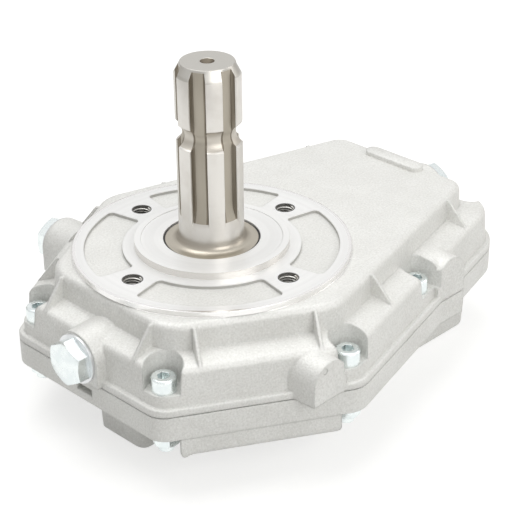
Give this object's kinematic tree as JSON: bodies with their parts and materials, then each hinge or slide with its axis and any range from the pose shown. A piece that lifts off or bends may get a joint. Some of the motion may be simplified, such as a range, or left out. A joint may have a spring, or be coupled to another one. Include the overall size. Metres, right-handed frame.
{
  "type": "pto speed increaser",
  "caption": "Two-part cast gearbox with a splined input shaft on top and a hollow splined drive for a flange-mounted hydraulic pump underneath.",
  "frame": {"origin": "on the input shaft's axis, at the machined pad that the gearbox is bolted up by", "axes": "+Z along the input shaft away from the casting, +X towards the narrow end that carries the pump underneath"},
  "size_m": [0.2945, 0.2223, 0.1953],
  "materials": {
    "cast_aluminium": "shot-blasted die casting",
    "shaft_steel": "ground and machined steel",
    "zinc_steel": "bright zinc plating",
    "bearing_steel": "polished bearing steel",
    "gear_steel": "hardened and ground, oiled",
    "cage_steel": "pressed sheet",
    "seal_rubber": "satin black rubber",
    "gasket_paper": "dark sealing compound",
    "washer_aluminium": "soft bright washer"
  },
  "bodies": {
    "housing": {"upper_housing": "cast_aluminium", "lower_housing": "cast_aluminium", "housing_gasket": "gasket_paper", "dowel_pins": "bearing_steel", "housing_screws": "zinc_steel", "housing_nuts": "zinc_steel", "left_plug": "zinc_steel", "left_plug_washer": "washer_aluminium", "end_plug": "zinc_steel", "end_plug_washer": "washer_aluminium", "rear_plug": "zinc_steel", "rear_plug_washer": "washer_aluminium", "input_seal": "seal_rubber", "output_seal": "seal_rubber", "input_upper_bearing_outer_ring": "bearing_steel", "input_lower_bearing_outer_ring": "bearing_steel", "pinion_upper_bearing_outer_ring": "bearing_steel", "pinion_lower_bearing_outer_ring": "bearing_steel"},
    "input": {"input_shaft": "shaft_steel", "drive_gear": "gear_steel", "drive_gear_key": "gear_steel", "gear_spacer": "gear_steel", "input_circlip": "gear_steel", "input_upper_bearing_inner_ring": "bearing_steel", "input_lower_bearing_inner_ring": "bearing_steel"},
    "pinion": {"output_pinion": "gear_steel", "pinion_upper_bearing_inner_ring": "bearing_steel", "pinion_lower_bearing_inner_ring": "bearing_steel"},
    "input_upper_bearing_cage": {"input_upper_bearing_cage": "cage_steel", "input_upper_bearing_rollers": "bearing_steel"},
    "input_lower_bearing_cage": {"input_lower_bearing_cage": "cage_steel", "input_lower_bearing_rollers": "bearing_steel"},
    "pinion_upper_bearing_cage": {"pinion_upper_bearing_cage": "cage_steel", "pinion_upper_bearing_rollers": "bearing_steel"},
    "pinion_lower_bearing_cage": {"pinion_lower_bearing_cage": "cage_steel", "pinion_lower_bearing_rollers": "bearing_steel"}
  },
  "joints": [
    {"name": "input_spin", "type": "hinge", "parent": "housing", "child": "input", "pos_m": [0, 0, -0.02], "axis": [0, 0, 1], "continuous": true},
    {"name": "pinion_spin", "type": "hinge", "parent": "housing", "child": "pinion", "pos_m": [0.08375, 0, -0.07], "axis": [0, 0, 1], "continuous": true},
    {"name": "input_upper_bearing_cage_spin", "type": "hinge", "parent": "housing", "child": "input_upper_bearing_cage", "pos_m": [0, 0, -0.02], "axis": [0, 0, 1], "continuous": true},
    {"name": "input_lower_bearing_cage_spin", "type": "hinge", "parent": "housing", "child": "input_lower_bearing_cage", "pos_m": [0, 0, -0.07], "axis": [0, 0, 1], "continuous": true},
    {"name": "pinion_upper_bearing_cage_spin", "type": "hinge", "parent": "housing", "child": "pinion_upper_bearing_cage", "pos_m": [0.08375, 0, -0.024], "axis": [0, 0, 1], "continuous": true},
    {"name": "pinion_lower_bearing_cage_spin", "type": "hinge", "parent": "housing", "child": "pinion_lower_bearing_cage", "pos_m": [0.08375, 0, -0.07], "axis": [0, 0, 1], "continuous": true}
  ],
  "couplings": [
    {"joint": "pinion_spin", "follows": "input_spin", "ratio": -3.7857},
    {"joint": "input_upper_bearing_cage_spin", "follows": "input_spin", "ratio": 0.42143},
    {"joint": "input_lower_bearing_cage_spin", "follows": "input_spin", "ratio": 0.41667},
    {"joint": "pinion_upper_bearing_cage_spin", "follows": "input_spin", "ratio": -1.5774},
    {"joint": "pinion_lower_bearing_cage_spin", "follows": "input_spin", "ratio": -1.5774}
  ]
}
